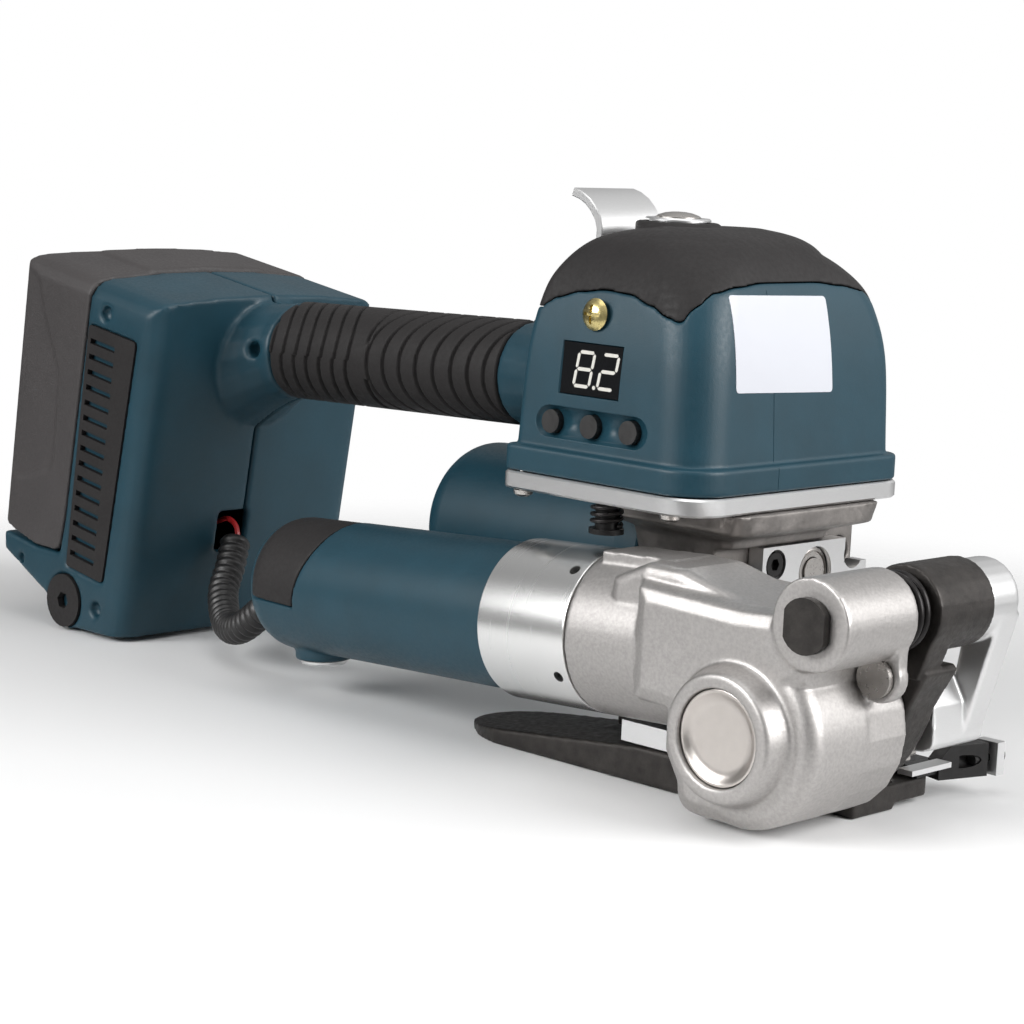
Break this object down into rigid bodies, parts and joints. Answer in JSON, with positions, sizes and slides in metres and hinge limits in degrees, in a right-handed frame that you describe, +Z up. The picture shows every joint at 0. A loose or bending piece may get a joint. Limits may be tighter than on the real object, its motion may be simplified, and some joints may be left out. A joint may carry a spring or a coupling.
{
  "type": "battery strapping tool",
  "caption": "Hand-held battery strapping tool: display head over a weld unit, hinged tension unit with feed wheel, ribbed handle and leaning battery pack.",
  "frame": {"origin": "on the base plate's flat underside, below the tension wheel's axis, on the handle's mid-plane", "axes": "+X to the front of the tool, away from the battery; +Y to its left; +Z up, out of the base plate's top"},
  "size_m": [0.3699, 0.1156, 0.1552],
  "materials": {
    "blue_plastic": "textured dark petrol blue moulding",
    "grip_rubber": "warm charcoal overmoulding",
    "pack_plastic": "charcoal textured moulding",
    "black_plastic": "black moulding",
    "casting": "fine shot-blasted light grey casting",
    "rough_casting": "rough casting with filed patches",
    "bright_metal": "machined bright",
    "dark_steel": "phosphated dark brown-black",
    "black_steel": "blackened",
    "spring_steel": "oiled black spring wire",
    "steel": "turned steel",
    "brass": "yellow passivated",
    "display_glass": "smoked clear window",
    "red_wire": "red insulation"
  },
  "bodies": {
    "frame": {"base_plate": "dark_steel", "gripper_plate": "steel", "rest_block": "bright_metal", "pivot_bracket": "dark_steel", "pivot_shaft": "dark_steel", "pivot_spring": "spring_steel", "main_frame": "rough_casting", "face_plate": "bright_metal", "face_screw_1": "black_steel", "face_screw_2": "black_steel", "weld_bearing": "steel", "weld_motor": "dark_steel", "weld_motor_cover": "blue_plastic", "head_plate": "bright_metal", "head_plate_screw_1": "steel", "head_plate_screw_2": "steel", "plunger_spring": "spring_steel", "head_shell": "blue_plastic", "head_cap": "grip_rubber", "button_bezel": "bright_metal", "display_window": "display_glass", "display_module": "black_plastic", "display_screw": "brass", "lever_pin": "steel", "housing_right": "blue_plastic", "housing_left": "blue_plastic", "handle_grip": "grip_rubber", "grille_pad_right": "grip_rubber", "grille_pad_left": "grip_rubber", "corner_disc_right": "grip_rubber", "corner_disc_left": "grip_rubber", "lead_wrap": "black_plastic", "lead_wire": "red_wire", "strap_guide_block": "black_steel", "guide_bracket": "bright_metal", "guide_screw": "black_steel", "guide_blade": "bright_metal"},
    "tension_unit": {"gear_housing": "casting", "stop_pin": "steel", "dish_cap": "bright_metal", "side_cover": "casting", "tension_ring": "bright_metal", "tension_motor_cover": "blue_plastic", "cover_inlay": "grip_rubber", "tension_motor": "dark_steel", "cover_foot": "bright_metal"},
    "wheel": {"tension_wheel": "steel", "wheel_shaft": "steel", "worm_wheel": "brass", "shaft_nut": "dark_steel"},
    "weld_arm": {"weld_arm": "bright_metal"},
    "weld_lever": {"weld_lever": "bright_metal"},
    "battery": {"battery_pack": "pack_plastic"},
    "push_button": {"push_button": "steel"},
    "key_1": {"key_1": "black_plastic"},
    "key_2": {"key_2": "black_plastic"},
    "key_3": {"key_3": "black_plastic"},
    "switch_plunger": {"switch_plunger": "black_steel"},
    "eccentric": {"eccentric_shaft": "steel"},
    "weld_jaw": {"weld_jaw": "dark_steel"}
  },
  "joints": [
    {"name": "tension_hinge", "type": "hinge", "parent": "frame", "child": "tension_unit", "pos_m": [0.0221, -0.045, 0.0569], "axis": [0, 1, 0], "range_deg": [0, 4], "deforming": ["lead_wrap"]},
    {"name": "wheel_spin", "type": "hinge", "parent": "tension_unit", "child": "wheel", "pos_m": [0, -0.01325, 0.0255], "axis": [0, 1, 0], "continuous": true},
    {"name": "lever_hinge", "type": "hinge", "parent": "frame", "child": "weld_lever", "pos_m": [-0.104, 0, 0.117], "axis": [0, -1, 0], "range_deg": [0, 50]},
    {"name": "weld_arm_hinge", "type": "hinge", "parent": "frame", "child": "weld_arm", "pos_m": [0.0221, 0.006, 0.0569], "axis": [0, -1, 0], "range_deg": [0, 4]},
    {"name": "pack_slide", "type": "slide", "parent": "frame", "child": "battery", "axis": [0.1564, 0, 0.9877], "range_m": [0, 0.12]},
    {"name": "button_press", "type": "slide", "parent": "frame", "child": "push_button", "axis": [0, 0, -1], "range_m": [0, 0.0012], "stiffness_N_per_m": 400},
    {"name": "key_1_press", "type": "slide", "parent": "frame", "child": "key_1", "axis": [0, 0.9976, -0.0698], "range_m": [0, 0.0008], "stiffness_N_per_m": 400},
    {"name": "key_2_press", "type": "slide", "parent": "frame", "child": "key_2", "axis": [0, 0.9976, -0.0698], "range_m": [0, 0.0008], "stiffness_N_per_m": 400},
    {"name": "key_3_press", "type": "slide", "parent": "frame", "child": "key_3", "axis": [0, 0.9976, -0.0698], "range_m": [0, 0.0008], "stiffness_N_per_m": 400},
    {"name": "plunger_slide", "type": "slide", "parent": "frame", "child": "switch_plunger", "axis": [0, 0, 1], "range_m": [0, 0.003], "deforming": ["plunger_spring"]},
    {"name": "eccentric_spin", "type": "hinge", "parent": "frame", "child": "eccentric", "pos_m": [-0.04125, 0.0214, 0.0525], "axis": [0.9995, 0, 0.0314], "continuous": true},
    {"name": "jaw_slide", "type": "slide", "parent": "frame", "child": "weld_jaw", "axis": [0, 1, 0], "range_m": [-0.0006, 0.0006]}
  ],
  "couplings": [
    {"joint": "weld_arm_hinge", "follows": "lever_hinge", "ratio": 0.08},
    {"joint": "plunger_slide", "follows": "tension_hinge", "m_per_rad": 0.042685}
  ]
}
